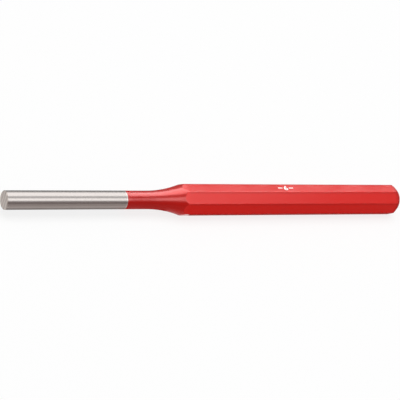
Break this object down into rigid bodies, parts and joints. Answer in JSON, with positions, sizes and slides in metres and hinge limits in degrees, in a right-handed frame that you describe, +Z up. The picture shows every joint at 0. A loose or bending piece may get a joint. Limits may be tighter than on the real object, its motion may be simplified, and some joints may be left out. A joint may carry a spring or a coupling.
{
  "type": "pin punch",
  "caption": "Pin punch: a bright steel parallel pin on a red-lacquered eight-sided shank with a hollow shoulder and a bevelled struck end.",
  "frame": {"origin": "middle of the punch's length, on the lowest flat of the shank that it lies on", "axes": "+X along the punch from the pin's tip to the struck end, +Z up out of the printed flat, +Y to the side"},
  "size_m": [0.15, 0.01, 0.01],
  "materials": {
    "bright_steel": "ground bright, with fine turned lines round the pin and across the tip face",
    "red_lacquer": "gloss stoved lacquer, rounded over the long edges",
    "white_ink": "satin printed ink"
  },
  "bodies": {
    "root": {"punch_bar": "bright_steel", "lacquer_coat": "red_lacquer", "size_mark": "white_ink"}
  },
  "joints": []
}
